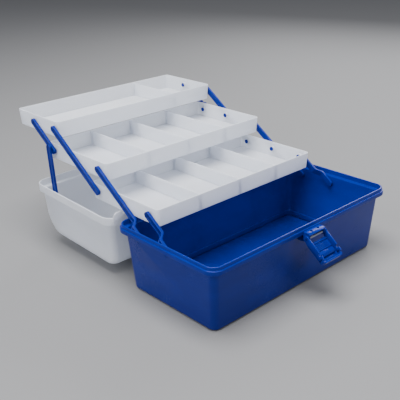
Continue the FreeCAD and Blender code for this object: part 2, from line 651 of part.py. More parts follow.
def cranked_arm(start, end, pins):
    """Arm whose foot is cranked outwards to the wall of the tub."""
    wall = tub_section(start.z, TUB_WALL)[0]
    foot_out = wall - FOOT_SIDE_GAP
    foot_in = foot_out - ARM_THICKNESS
    length = (end - start).Length
    half = ARM_WIDTH / 2
    crank_end = CRANK_START + CRANK_RUN
    profile = [(foot_in, -half), (foot_in, CRANK_START), (ARM_INNER_X, crank_end),
               (ARM_INNER_X, length + half), (ARM_OUTER_X, length + half),
               (ARM_OUTER_X, crank_end + CRANK_EASE), (foot_out, CRANK_START + CRANK_EASE),
               (foot_out, -half)]
    corners = [Vector(x, along, -half) for x, along in profile]
    face = Part.Face(Part.makePolygon(corners + corners[:1]))
    bar = face.extrude(Vector(0, 0, ARM_WIDTH))
    low = ARM_INNER_X - PAST
    high = foot_out + PAST
    ends = box(low, high, 0, length, -half, half)
    for along in (0.0, length):
        ends = ends.fuse(rod(low, high, along, 0, half))
    bar = bar.common(ends.removeSplitter())
    bar.rotate(Vector(0, 0, 0), X_AXIS, OPEN_ANGLE)
    bar.translate(Vector(0, start.y, start.z))
    bar = bar.cut(arm_groove(start, end, ARM_OUTER_X, ARM_GROOVE_WIDTH,
                        crank_end + CRANK_TO_GROOVE, 0.0))
    outside = tub_section(start.z)[0]
    bar = bar.fuse(rod(foot_out - TINY, outside - STUD_END_INSET, start.y, start.z, STUD_RADIUS))
    for pin in pins:
        bar = bar.fuse(tray_stud(pin, ARM_OUTER_X - ARM_GROOVE - TINY))
    return bar.removeSplitter()


def link_top():
    """Where the lid link is held on the top arm."""
    lower_pin = MIDDLE_FRONT_PIN + SPACING * 2
    return lower_pin + stage(OPEN_ANGLE) * (LINK_TOP_ALONG_ARM / ARM_LENGTH)


def make_link():
    """Straight link outside the top arm, from that arm down to the lid's end wall."""
    top = link_top()
    foot = open_point(link_pivot_closed())
    link = arm_blank(top, foot, LINK_INNER_X, LINK_OUTER_X, LINK_WIDTH)
    link = link.cut(arm_groove(top, foot, LINK_OUTER_X, ARM_GROOVE_WIDTH, 0.0, 0.0))
    groove_x = LINK_OUTER_X - ARM_GROOVE - TINY
    link = link.fuse(rod(groove_x, LINK_OUTER_X + LINK_CAP_HEIGHT, top.y, top.z, LINK_CAP_RADIUS))
    wall = lid_half_length(LINK_PIVOT_HEIGHT)
    link = link.fuse(rod(groove_x, wall - STUD_END_INSET, foot.y, foot.z, STUD_RADIUS))
    return link.removeSplitter()


# ---- latch -----------------------------------------------------------------
LATCH_Y = -(RIM_HALF_DEPTH + LATCH_AXIS_OUT)
LATCH_Z = TUB_HEIGHT - LATCH_AXIS_DROP


def make_latch_bracket():
    """Shelf under the rim with two cheeks that hold the latch pin."""
    band_y = -(RIM_HALF_DEPTH + RIM_BAND_REACH)
    root_y = band_y + RIM_LIP_WALL / 2
    wall_y = -(RIM_HALF_DEPTH - neck_inset_at(LATCH_Z)) + TUB_WALL / 2
    half = LATCH_BODY_WIDTH / 2
    shelf_top = BAND_BOTTOM + BRACKET_SHELF_RISE
    shelf_low = shelf_top - BRACKET_SHELF_THICKNESS
    nose_y = LATCH_Y - BRACKET_NOSE
    edge_y = nose_y + BRACKET_SHELF_ROUND
    shelf = plate([(root_y, shelf_top), (edge_y, shelf_top), (nose_y, shelf_top - BRACKET_SHELF_ROUND),
                   (nose_y, shelf_low), (root_y, shelf_low)], -half, half)
    parts = [shelf]
    foot_z = LATCH_Z - BRACKET_FOOT_DROP
    for low in (-half, half - BRACKET_CHEEK):
        parts.append(plate([(wall_y, shelf_low + TINY), (edge_y, shelf_low + TINY), (edge_y, LATCH_Z),
                            (LATCH_Y, LATCH_Z - BRACKET_NOSE), (band_y, foot_z), (wall_y, foot_z)],
                           low, low + BRACKET_CHEEK))
    parts.append(box(-half, half, band_y, band_y + BRACKET_CHEEK, foot_z, shelf_top - TINY))
    body = join(parts)
    radius = LATCH_PIN_RADIUS + LATCH_PIN_CLEARANCE
    body = body.cut(rod(-half - PAST, half + PAST, LATCH_Y, LATCH_Z, radius))
    for x in (-BRACKET_HOLE_X, BRACKET_HOLE_X):
        centre = Vector(x, (band_y + nose_y) / 2, shelf_low - PAST)
        depth = BRACKET_SHELF_THICKNESS + 2 * PAST
        body = body.cut(Part.makeCylinder(BRACKET_HOLE_RADIUS, depth, centre))
    return body


def make_latch_flap():
    """Dished flap with two side rails, modelled standing up and then swung open."""
    inner = LATCH_BODY_WIDTH / 2 + LATCH_GAP
    outer = inner + LATCH_ARM_THICKNESS
    face_y = LATCH_Y - LATCH_RAIL_HEIGHT / 2
    rail_y = face_y + LATCH_RAIL_HEIGHT
    top = LATCH_Z + LATCH_LENGTH
    start = LATCH_Z + LATCH_PLATE_START
    notch = LATCH_Z + LATCH_LENGTH * LATCH_NOTCH_SHARE
    parts = [box(-outer, outer, face_y - LATCH_PLATE, face_y, start, top)]
    for low in (-outer, inner):
        high = low + LATCH_ARM_THICKNESS
        rail = box(low, high, face_y - LATCH_PLATE, rail_y, LATCH_Z, top)
        eye = rod(low, high, LATCH_Y, LATCH_Z, LATCH_EYE_RADIUS)
        cut = box(low - PAST, high + PAST, rail_y - LATCH_NOTCH_DEPTH, rail_y + PAST,
                  notch, notch + LATCH_NOTCH_LENGTH)
        parts.append(rail.fuse(eye).cut(cut))
    parts.append(box(-outer, outer, face_y - LATCH_PLATE, face_y + LATCH_END_HEIGHT,
                     top - LATCH_ARM_THICKNESS, top))
    hook_z = LID_RIM_Z + LID_RIM_HEIGHT + LATCH_CATCH_RISE + LATCH_HOOK_GAP
    hook_y = catch_lip_y() + LATCH_HOOK_LAP
    hook_half = inner - LATCH_HOOK_INSET
    parts.append(plate([(face_y - TINY, hook_z), (hook_y, hook_z),
                        (hook_y - LATCH_PLATE, hook_z + LATCH_HOOK_HEIGHT - LATCH_HOOK_GAP),
                        (face_y - TINY, hook_z + LATCH_HOOK_HEIGHT)], -hook_half, hook_half))
    for step in range(GRIP_BARS):
        z = start + GRIP_BAR_WIDTH + step * GRIP_BAR_PITCH
        parts.append(box(-hook_half, hook_half, face_y - TINY, face_y + GRIP_BAR_HEIGHT,
                         z, z + GRIP_BAR_WIDTH))
    body = join(parts)
    ends = [edge for edge in body.Edges if is_free_corner(edge, outer, top)]
    body = body.makeFillet(LATCH_END_RADIUS, ends)
    radius = LATCH_PIN_RADIUS + LATCH_PIN_CLEARANCE
    body = body.cut(rod(-outer - PAST, outer + PAST, LATCH_Y, LATCH_Z, radius))
    body.rotate(Vector(0, LATCH_Y, LATCH_Z), X_AXIS, LATCH_OPEN_ANGLE)
    return body


def is_free_corner(edge, outer, top):
    """One of the two outer corners of the flap's free end."""
    at_end = abs(edge.BoundBox.ZMin - top) < TINY and abs(edge.BoundBox.ZMax - top) < TINY
    at_side = abs(abs(edge.BoundBox.XMin) - outer) < TINY and edge.BoundBox.XLength < TINY
    return at_end and at_side and edge.BoundBox.YLength > LATCH_PLATE


def make_latch_pin():
    end = LATCH_BODY_WIDTH / 2 + LATCH_GAP + LATCH_ARM_THICKNESS
    return rod(-end, end, LATCH_Y, LATCH_Z, LATCH_PIN_RADIUS)


# ---- handle ----------------------------------------------------------------
def handle_axis_closed():
    return Vector(0, HANDLE_AXIS_Y, LID_TOP_Z + HANDLE_AXIS_HEIGHT)


def make_handle():
    """Bail that folds flat on the lid's top, lid closed."""
    axis = handle_axis_closed()
    half = HANDLE_LENGTH / 2
    low = axis.z - HANDLE_THICKNESS / 2
    high = axis.z + HANDLE_THICKNESS / 2
    front = axis.y - HANDLE_DROP
    radius = HANDLE_BAR * HANDLE_ROUNDING
    outer = Part.Face(outline(half, (HANDLE_DROP + HANDLE_BAR / 2) / 2, radius, low,
                              (front + axis.y + HANDLE_BAR / 2) / 2))
    body = outer.extrude(Vector(0, 0, high - low))
    inner_half = half - HANDLE_BAR
    hole = box(-inner_half, inner_half, front + HANDLE_BAR, axis.y + HANDLE_BAR, low - PAST, high + PAST)
    body = body.cut(hole)
    bore = HANDLE_PIN_RADIUS + HANDLE_PIN_CLEARANCE
    return body.cut(rod(-half - PAST, half + PAST, axis.y, axis.z, bore))


def make_handle_brackets():
    """Two blocks on the lid's top, each with a stub that the handle turns on."""
    axis = handle_axis_closed()
    outer = HANDLE_LENGTH / 2 - HANDLE_BAR - HANDLE_SIDE_GAP
    inner = outer - HANDLE_BLOCK_LENGTH
    reach = HANDLE_LENGTH / 2 - HANDLE_SIDE_GAP
    top = axis.z + HANDLE_THICKNESS / 2 - HANDLE_BLOCK_DROP
    half = HANDLE_BLOCK_DEPTH / 2
    block = box(inner, outer, axis.y - half, axis.y + half, LID_TOP_Z, top)
    block = block.fuse(rod(outer - PAST, reach, axis.y, axis.z, HANDLE_PIN_RADIUS)).removeSplitter()
    return Part.makeCompound(both_ends(block))


# ---- assembly --------------------------------------------------------------
export("base_tub", make_tub())
export("hinge_pins", make_hinge_pins())
export("latch_pin", make_latch_pin())
export("latch_flap", make_latch_flap())

export("lid_shell", opened(make_lid()))
export("lid_catch", opened(make_lid_catch()))
export("handle", opened(make_handle()))
export("handle_brackets", opened(make_handle_brackets()))

tray_table = [
    ("bottom", BOTTOM_FRONT_PIN, TRAY_DEPTH, TRAY_FRONT_OVERHANG, 3),
    ("middle", MIDDLE_FRONT_PIN, TRAY_DEPTH, TRAY_FRONT_OVERHANG, 3),
    ("top", TOP_FRONT_PIN, TOP_TRAY_DEPTH, TOP_TRAY_OVERHANG, 2),
]
for label, pin, depth, overhang, pin_count in tray_table:
    shell, front, rim = tray_shell(pin, depth, overhang, pin_count)
    if label == "top":
        places = [TOP_DIVIDER_X]
    else:
        places = [-TRAY_HALF_LENGTH / 2, 0.0, TRAY_HALF_LENGTH / 2]
    export(label + "_tray", add_guides(shell, front, rim, depth, places))
    for index, place in enumerate(places):
        export(label + "_divider_" + str(index + 1), make_divider(place, front, rim, depth))

link = make_link()
front_arm = cranked_arm(TUB_FRONT_PIN, BOTTOM_FRONT_PIN, [BOTTOM_FRONT_PIN])
back_arm = cranked_arm(TUB_BACK_PIN, MIDDLE_FRONT_PIN, [BOTTOM_FRONT_PIN + SPACING, MIDDLE_FRONT_PIN])
upper_start = BOTTOM_FRONT_PIN + SPACING * 2
upper_arm = plain_arm(upper_start, TOP_FRONT_PIN, [upper_start, MIDDLE_FRONT_PIN + SPACING, TOP_FRONT_PIN])
top_start = MIDDLE_FRONT_PIN + SPACING * 2
top_end = TOP_FRONT_PIN + SPACING
top_arm = plain_arm(top_start, top_end, [top_start, top_end])
for label, shape in (("front_arm", front_arm), ("back_arm", back_arm), ("upper_arm", upper_arm),
                     ("top_arm", top_arm), ("lid_link", link)):
    export(label + "_right", shape)
    export(label + "_left", mirrored(shape))
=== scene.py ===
import math

import bmesh
import bpy
from mathutils import Matrix, Vector


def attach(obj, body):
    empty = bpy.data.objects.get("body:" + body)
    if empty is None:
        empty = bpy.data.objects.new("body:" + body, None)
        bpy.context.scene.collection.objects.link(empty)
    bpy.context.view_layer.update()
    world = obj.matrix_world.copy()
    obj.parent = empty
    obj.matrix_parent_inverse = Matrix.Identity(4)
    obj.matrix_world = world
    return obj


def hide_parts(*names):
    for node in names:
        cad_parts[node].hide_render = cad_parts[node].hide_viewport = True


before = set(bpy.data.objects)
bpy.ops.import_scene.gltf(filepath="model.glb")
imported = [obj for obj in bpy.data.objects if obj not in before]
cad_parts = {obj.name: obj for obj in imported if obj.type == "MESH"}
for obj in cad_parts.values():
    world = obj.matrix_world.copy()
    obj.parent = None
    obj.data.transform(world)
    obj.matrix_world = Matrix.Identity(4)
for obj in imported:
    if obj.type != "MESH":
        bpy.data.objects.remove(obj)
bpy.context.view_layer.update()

# ---------------------------------------------------------------------------
# The tub: one deep injection moulding in glossy royal-blue polypropylene.
# Thin drafted walls run up into a stiff double rim, a ledge just inside it,
# and a skirting band where the walls meet the floor. The latch bracket and
# the middle barrels of the two hinges are moulded on.
# ---------------------------------------------------------------------------


class Socket:
    """One output of a shader node, so that shader sums read like sums."""

    def __init__(self, graph, output):
        self.graph = graph
        self.output = output

    def _sum(self, operation, first, second):
        return self.graph.node("ShaderNodeMath", {"operation": operation}, {0: first, 1: second})

    def __add__(self, other):
        return self._sum("ADD", self, other)

    def __radd__(self, other):
        return self._sum("ADD", other, self)

    def __sub__(self, other):
        return self._sum("SUBTRACT", self, other)

    def __rsub__(self, other):
        return self._sum("SUBTRACT", other, self)

    def __mul__(self, other):
        return self._sum("MULTIPLY", self, other)

    def __rmul__(self, other):
        return self._sum("MULTIPLY", other, self)


class Graph:
    """A material's node tree, filled one node at a time."""

    def __init__(self, name):
        self.material = bpy.data.materials.new(name)
        self.material.use_nodes = True
        self.tree = self.material.node_tree
        self.tree.nodes.clear()

    def node(self, kind, settings, inputs, output=0):
        made = self.tree.nodes.new(kind)
        for key, value in settings.items():
            setattr(made, key, value)
        for key, value in inputs.items():
            if isinstance(value, Socket):
                self.tree.links.new(value.output, made.inputs[key])
            else:
                made.inputs[key].default_value = value
        return Socket(self, made.outputs[output])

    def place(self, stretch=(1, 1, 1)):
        coordinates = self.node("ShaderNodeTexCoord", {}, {}, "Object")
        return self.node("ShaderNodeMapping", {}, {"Vector": coordinates, "Scale": stretch})

    def noise(self, scale, detail=2.0, stretch=(1, 1, 1)):
        inputs = {"Vector": self.place(stretch), "Scale": scale, "Detail": detail}
        return self.node("ShaderNodeTexNoise", {}, inputs, "Fac")

    def spread(self, value, low, high, to_low=0.0, to_high=1.0):
        inputs = {"Value": value, "From Min": low, "From Max": high,
                  "To Min": to_low, "To Max": to_high}
        return self.node("ShaderNodeMapRange", {"clamp": True}, inputs)

    def blend(self, factor, first, second):
        made = self.tree.nodes.new("ShaderNodeMix")
        made.data_type = "RGBA"
        for index, value in ((0, factor), (6, first), (7, second)):
            if isinstance(value, Socket):
                self.tree.links.new(value.output, made.inputs[index])
            else:
                made.inputs[index].default_value = value
        return Socket(self, made.outputs[2])

    def bump(self, height, strength, distance):
        return self.node("ShaderNodeBump", {},
                         {"Height": height, "Strength": strength, "Distance": distance})

    def surface(self, shader):
        end = self.tree.nodes.new("ShaderNodeOutputMaterial")
        self.tree.links.new(shader.output, end.inputs["Surface"])
        return self.material


def outline_points(half_x, half_y, radius, z, centre_y=0.0, segments=8):
    """Corner-rounded rectangle, walked once round from the near right corner."""
    points = []
    for sign_x, sign_y, start in ((1, -1, -90), (1, 1, 0), (-1, 1, 90), (-1, -1, 180)):
        for step in range(segments + 1):
            angle = math.radians(start + 90 * step / segments)
            points.append(Vector((sign_x * (half_x - radius) + radius * math.cos(angle),
                                  centre_y + sign_y * (half_y - radius) + radius * math.sin(angle), z)))
    return points


def moulded_shell(bm, rings, segments=8):
    """Pulls a rounded rectangle through a list of rings and closes both ends.

    Each ring is (half_x, half_y, corner radius, z, centre_y, edge rounding)."""
    first = [bm.verts.new(p) for p in outline_points(*rings[0][:5], segments)]
    bm.faces.new(first)
    current = first
    rounded = []
    for index, ring in enumerate(rings):
        if index:
            edges = [bm.edges.get((current[i - 1], current[i])) for i in range(len(current))]
            made = bmesh.ops.extrude_edge_only(bm, edges=edges)["geom"]
            fresh = {tuple(round(c, 4) for c in v.co): v for v in made if isinstance(v, bmesh.types.BMVert)}
            following = [fresh[tuple(round(c, 4) for c in v.co)] for v in current]
            for vert, point in zip(following, outline_points(*ring[:5], segments)):
                vert.co = point
            current = following
        if ring[5] > 0:
            edges = [bm.edges.get((current[i - 1], current[i])) for i in range(len(current))]
            rounded.append((edges, ring[5]))
    bm.faces.new(current)
    for edges, radius in rounded:
        alive = [e for e in edges if e is not None and e.is_valid]
        bmesh.ops.bevel(bm, geom=alive, offset=radius, offset_type="OFFSET", affect="EDGES",
                        segments=4, profile=0.5, material=-1, clamp_overlap=True)


def block(bm, low, high, rounding=0.3):
    """Rectangular rib or lug with softened edges."""
    size = Vector(high) - Vector(low)
    middle = (Vector(high) + Vector(low)) / 2
    matrix = Matrix.Translation(middle) @ Matrix.Diagonal((*size, 1.0))
    made = bmesh.ops.create_cube(bm, size=1.0, matrix=matrix)["verts"]
    edges = list({e for v in made for e in v.link_edges})
    if rounding > 0:
        bmesh.ops.bevel(bm, geom=edges, offset=rounding, offset_type="OFFSET", affect="EDGES",
                        segments=2, profile=0.5, material=-1, clamp_overlap=True)
    return made


def drum(bm, x_low, x_high, y, z, radius, rounding=0.3, segments=40):
    """Round boss, stud or barrel lying along X."""
    turn = Matrix.Rotation(math.radians(90), 4, "Y")
    matrix = Matrix.Translation(((x_low + x_high) / 2, y, z)) @ turn
    made = bmesh.ops.create_cone(bm, cap_ends=True, segments=segments, radius1=radius, radius2=radius,
                                 depth=x_high - x_low, matrix=matrix)["verts"]
    rims = list({e for v in made for e in v.link_edges if abs((e.verts[0].co - e.verts[1].co).x) < 1e-4})
    if rounding > 0:
        bmesh.ops.bevel(bm, geom=rims, offset=rounding, offset_type="OFFSET", affect="EDGES",
                        segments=3, profile=0.5, material=-1, clamp_overlap=True)
    return made


def slab(bm, points, direction, rounding=0.3):
    """Flat outline pushed out along a direction, with softened edges."""
    verts = [bm.verts.new(p) for p in points]
    face = bm.faces.new(verts)
    made = bmesh.ops.extrude_face_region(bm, geom=[face])["geom"]
    fresh = [v for v in made if isinstance(v, bmesh.types.BMVert)]
    bmesh.ops.translate(bm, verts=fresh, vec=Vector(direction))
    everything = list({e for v in verts + fresh for e in v.link_edges})
    if rounding > 0:
        bmesh.ops.bevel(bm, geom=everything, offset=rounding, offset_type="OFFSET", affect="EDGES",
                        segments=2, profile=0.5, material=-1, clamp_overlap=True)
    return verts + fresh


def piece(bm, name, body, material, stands_for=(), smooth_angle=38.0):
    """Turns finished millimetre geometry into an object of the assembly."""
    bmesh.ops.scale(bm, vec=Vector((0.001, 0.001, 0.001)), verts=bm.verts)
    bmesh.ops.recalc_face_normals(bm, faces=bm.faces)
    mesh = bpy.data.meshes.new(name)
    bm.to_mesh(mesh)
    bm.free()
    mesh.shade_smooth()
    mesh.set_sharp_from_angle(angle=math.radians(smooth_angle))
    mesh.materials.append(material)
    made = bpy.data.objects.new(name, mesh)
    bpy.context.scene.collection.objects.link(made)
    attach(made, body)
    if stands_for:
        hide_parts(*stands_for)
    return made


def carve(bm, cutter_bm):
    """Cuts holes out of a closed shell and hands the cut shell back."""
    solids = []
    for label, source in (("shell", bm), ("cutter", cutter_bm)):
        bmesh.ops.recalc_face_normals(source, faces=source.faces)
        mesh = bpy.data.meshes.new(label)
        source.to_mesh(mesh)
        source.free()
        made = bpy.data.objects.new(label, mesh)
        bpy.context.scene.collection.objects.link(made)
        solids.append(made)
    modifier = solids[0].modifiers.new("holes", "BOOLEAN")
    modifier.operation = "DIFFERENCE"
    modifier.solver = "EXACT"
    modifier.object = solids[1]
    bpy.context.view_layer.update()
    evaluated = solids[0].evaluated_get(bpy.context.evaluated_depsgraph_get())
    cut = bmesh.new()
    cut.from_mesh(evaluated.to_mesh())
    for made in solids:
        bpy.data.objects.remove(made)
    return cut


def ring(bm, x_low, x_high, y, z, outer, inner):
    """Round boss with a hole through it, lying along X."""
    soft = 0.35
    section = ((x_low, inner), (x_low, outer - soft), (x_low + soft, outer), (x_high, outer), (x_high, inner))
    corners = [bm.verts.new((x, y + radius, z)) for x, radius in section]
    edges = [bm.edges.new((corners[i - 1], corners[i])) for i in range(len(corners))]
    bmesh.ops.spin(bm, geom=corners + edges, cent=(0, y, z), axis=(1, 0, 0), angle=math.tau, steps=32,
                   use_merge=True)


blue = Graph("blue_polypropylene")
cloud = blue.noise(9.0, 3.0)
grain = blue.noise(900.0, 2.0)
flow = blue.noise(22.0, 4.0, (1, 1, 3.5))
blue_colour = blue.blend(blue.spread(cloud * 0.6 + flow * 0.4, 0.38, 0.62),
                         (0.0002, 0.0125, 0.200, 1), (0.0003, 0.0170, 0.250, 1))
blue_rough = 0.22 + blue.spread(cloud, 0.35, 0.65) * 0.05 + grain * 0.05
blue_bump = blue.bump(grain * 0.7 + flow * 0.3, 0.10, 0.0004)
blue_plastic = blue.surface(blue.node("ShaderNodeBsdfPrincipled", {}, {
    "Base Color": blue_colour, "Roughness": blue_rough, "Normal": blue_bump,
    "IOR": 1.45, "Specular IOR Level": 0.25}))

PIN_SPACING = 53.5
TUB_PIN_Z = 77.0
STUD_HOLE = 2.6
tub = bmesh.new()
moulded_shell(tub, [
    (158.5, 77.5, 10.0, 0.0, 0, 4.6),
    (164.1, 83.1, 10.0, 85.0, 0, 0.5),
    (169.6, 88.6, 14.6, 85.0, 0, 0.0),
    (169.6, 88.6, 14.6, 83.4, 0, 0.5),
    (171.8, 90.8, 16.8, 83.4, 0, 0.7),
    (171.8, 90.8, 16.8, 89.6, 0, 0.9),
    (170.0, 89.0, 15.0, 89.6, 0, 0.3),
    (170.0, 89.0, 15.0, 94.0, 0, 1.0),
    (167.8, 86.8, 12.8, 94.0, 0, 0.7),
    (167.8, 86.8, 12.8, 87.0, 0, 0.5),
    (162.05, 81.05, 7.8, 87.0, 0, 0.9),
    (157.05, 76.05, 7.8, 11.4, 0, 0.2),
    (156.05, 75.05, 6.8, 11.4, 0, 0.75),
    (155.45, 74.45, 6.8, 2.4, 0, 2.6),
])
holes = bmesh.new()
for x_low, x_high in ((-170.0, -159.0), (159.0, 170.0)):
    for y in (0.0, PIN_SPACING):
        drum(holes, x_low, x_high, y, TUB_PIN_Z, STUD_HOLE, 0.0)
tub = carve(tub, holes)
HINGE_Y, HINGE_Z = 97.5, 91.1
HINGE_CENTRE = 112.0
BARREL_HALF, BARREL_RADIUS = 6, 4.2
for sign in (-1, 1):
    low = sign * HINGE_CENTRE - BARREL_HALF
    high = sign * HINGE_CENTRE + BARREL_HALF
    web = [(89.4, 83.9), (HINGE_Y, HINGE_Z - 4.1), (HINGE_Y, HINGE_Z), (89.4, 88.2)]
    slab(tub, [(low, y, z) for y, z in web], (2 * BARREL_HALF, 0, 0), 0.3)
    drum(tub, low, high, HINGE_Y, HINGE_Z, BARREL_RADIUS, 0.4)
piece(tub, "tub", "base", blue_plastic, ("base_tub",))

# ---------------------------------------------------------------------------
# The latch bracket under the front rim: a shelf with two round core holes and
# two cheeks, moulded with the tub.
# ---------------------------------------------------------------------------
LATCH_Y, LATCH_Z = -98.0, 80.5
BRACKET_HALF, CHEEK = 15.8, 2.6
SHELF_LOW, SHELF_TOP, BRACKET_FOOT = 85.6, 88.0, 74.5
BAND_Y, WALL_Y = -90.8, -82.4
bracket = bmesh.new()
shelf = [(-89.6, SHELF_TOP), (LATCH_Y - 1.0, SHELF_TOP), (LATCH_Y - 3.0, 86.6),
         (LATCH_Y - 3.4, SHELF_LOW), (-89.6, SHELF_LOW)]
slab(bracket, [(-BRACKET_HALF, y, z) for y, z in shelf], (2 * BRACKET_HALF, 0, 0), 0.5)
holes = bmesh.new()
for x in (-6.5, 6.5):
    bmesh.ops.create_cone(holes, cap_ends=True, segments=32, radius1=2.0, radius2=2.0, depth=8,
                          matrix=Matrix.Translation((x, -96.1, 86.5)))
bracket = carve(bracket, holes)
cheek = [(WALL_Y, 85.7), (LATCH_Y - 2.4, 85.7), (LATCH_Y - 2.4, 79.5), (LATCH_Y, 77.1),
         (BAND_Y, BRACKET_FOOT), (WALL_Y, BRACKET_FOOT)]
for low in (-BRACKET_HALF, BRACKET_HALF - CHEEK):
    slab(bracket, [(low, y, z) for y, z in cheek], (CHEEK, 0, 0), 0.4)
block(bracket, (-BRACKET_HALF, BAND_Y, BRACKET_FOOT), (BRACKET_HALF, BAND_Y + CHEEK, 87.9), 0.5)
piece(bracket, "latch_shelf", "base", blue_plastic)

# ---------------------------------------------------------------------------
# The latch flap, a moulding of its own that turns on a steel pin through the
# bracket and hangs open: a plate with rounded corners, a rail down each side,
# a ribbed finger panel between two cross bars, the hook, and raised thumb pads.
# ---------------------------------------------------------------------------
HANG = Matrix.Translation((0, LATCH_Y, LATCH_Z)) @ Matrix.Rotation(math.radians(128), 4, "X") \
    @ Matrix.Translation((0, -LATCH_Y, -LATCH_Z))
FACE_Y, FLAP_TOP = LATCH_Y - 3.5, LATCH_Z + 37.5
FLAP_HALF, FLAP_RAIL = 18.6, 2.4
FLAP_CORNER = 4.0
PLATE_START, PLATE = 86.5, 2.0
END_WALL_START, END_WALL_HEIGHT = 111.0, 4.5
RAIL_TOP_Y = FACE_Y + 7.0
PANEL_HALF = 12.2


def rounded_end(radius):
    """The free end of the flap in plan, walked from the left side to the right."""
    path = []
    for start, sign in ((180, -1), (90, 1)):
        for step in range(9):
            turn = math.radians(start - 90 * step / 8)
            path.append((sign * (FLAP_HALF - FLAP_CORNER) + radius * math.cos(turn),
                         FLAP_TOP - FLAP_CORNER + radius * math.sin(turn)))
    return path


flap = bmesh.new()
outside = rounded_end(FLAP_CORNER)
inside = rounded_end(FLAP_CORNER - FLAP_RAIL)
plan = [(-FLAP_HALF, PLATE_START)] + outside + [(FLAP_HALF, PLATE_START)]
slab(flap, [(x, FACE_Y - PLATE, z) for x, z in plan], (0, PLATE, 0), 0.4)
loop = [(-FLAP_HALF, END_WALL_START)] + outside + [(FLAP_HALF, END_WALL_START)]
loop += [(FLAP_HALF - FLAP_RAIL, END_WALL_START)] + list(reversed(inside))
loop += [(FLAP_RAIL - FLAP_HALF, END_WALL_START)]
slab(flap, [(x, FACE_Y - 1.2, z) for x, z in loop], (0, END_WALL_HEIGHT + 1.2, 0), 0.35)
rail = [(FACE_Y - 1.4, 84.0), (FACE_Y - 1.4, 112.8), (RAIL_TOP_Y, 112.8), (RAIL_TOP_Y, 107.75),
        (RAIL_TOP_Y - 3.5, 107.75), (RAIL_TOP_Y - 3.5, 103.75), (RAIL_TOP_Y, 103.75), (RAIL_TOP_Y, 84.0)]
for low in (-FLAP_HALF, FLAP_HALF - FLAP_RAIL):
    high = low + FLAP_RAIL
    slab(flap, [(low, y, z) for y, z in rail], (FLAP_RAIL, 0, 0), 0.4)
    drum(flap, low, high, LATCH_Y, LATCH_Z, 4.0, 0.5)
    block(flap, (low + 0.01, -101.9, LATCH_Z), (high - 0.01, -94.6, 86.0), 0.3)
hook = [(FACE_Y - 0.5, 107.15), (-95.9, 107.15), (-97.8, 109.85), (FACE_Y - 0.5, 110.55)]
slab(flap, [(-PANEL_HALF, y, z) for y, z in hook], (2 * PANEL_HALF, 0, 0), 0.3)
for z in (88.7, 99.2):
    block(flap, (1.2 - FLAP_HALF, FACE_Y - 0.8, z), (FLAP_HALF - 1.2, FACE_Y + 1.3, z + 1.3), 0.35)
for index in range(5):
    z = 90.9 + index * 1.65
    block(flap, (-PANEL_HALF, FACE_Y - 0.6, z), (PANEL_HALF, FACE_Y + 0.5, z + 0.8), 0.2)
for right, low, high in ((7.4, 101.9, 106.4), (9.4, 111.4, 114.8)):
    block(flap, (-14.6, FACE_Y - 0.8, low), (right, FACE_Y + 1.1, high), 0.5)
drum(flap, -8.4, -7.0, FACE_Y + 0.9, 113.4, 0.7, 0.1, 16)
bmesh.ops.transform(flap, matrix=HANG, verts=flap.verts)
piece(flap, "latch_plate", "latch", blue_plastic, ("latch_flap",))

# ---------------------------------------------------------------------------
# Steel wire: the latch pin and the two hinge pins, drawn wire pushed through
# the barrels.
# ---------------------------------------------------------------------------
wire = Graph("drawn_steel")
streak = wire.noise(60.0, 3.0, (0.15, 8, 8))
steel = wire.surface(wire.node("ShaderNodeBsdfPrincipled", {}, {
    "Base Color": wire.blend(streak, (0.42, 0.44, 0.50, 1), (0.62, 0.65, 0.72, 1)),
    "Metallic": 1.0, "Roughness": 0.25 + streak * 0.2, "Normal": wire.bump(streak, 0.2, 0.0003)}))
for name in ("latch_pin", "hinge_pins"):
    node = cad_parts[name]
    node.data.materials.clear()
    node.data.materials.append(steel)

# ---------------------------------------------------------------------------
# The lid: one deep moulding in milky polypropylene with a big rounding along
# its front, lying open on its back behind the tub. Its rim skirt stands out
# past the wall, and a leaf with two rounded ears carries the hinge barrels.
# ---------------------------------------------------------------------------
milk = Graph("frosted_polypropylene")
haze = milk.noise(14.0, 3.0)
fine = milk.noise(1100.0, 2.0)
swirl = milk.noise(30.0, 4.0, (1, 1, 2.5))
milk_colour = milk.blend(milk.spread(haze * 0.5 + swirl * 0.5, 0.35, 0.65),
                         (0.88, 0.90, 0.95, 1), (0.93, 0.945, 0.975, 1))
milk_rough = 0.30 + milk.spread(haze, 0.3, 0.7) * 0.06 + fine * 0.08
milk_bump = milk.bump(fine * 0.7 + swirl * 0.3, 0.12, 0.0004)
body_shader = milk.node("ShaderNodeBsdfPrincipled", {}, {
    "Base Color": milk_colour, "Roughness": milk_rough, "Normal": milk_bump,
    "IOR": 1.49, "Specular IOR Level": 0.5})
through_shader = milk.node("ShaderNodeBsdfTranslucent", {}, {"Color": milk_colour, "Normal": milk_bump})
clear_shader = milk.node("ShaderNodeBsdfTransparent", {}, {"Color": (0.93, 0.95, 0.98, 1)})
solid = milk.node("ShaderNodeMixShader", {}, {0: 0.34, 1: body_shader, 2: through_shader})
see_through = 0.20 + haze * 0.06
frosted = milk.surface(milk.node("ShaderNodeMixShader", {}, {0: see_through, 1: solid, 2: clear_shader}))

LID_RIM_Z = 89.95
OPEN = Matrix.Translation((0, HINGE_Y, HINGE_Z)) @ Matrix.Rotation(math.radians(-178.5), 4, "X") \
    @ Matrix.Translation((0, -HINGE_Y, -HINGE_Z))


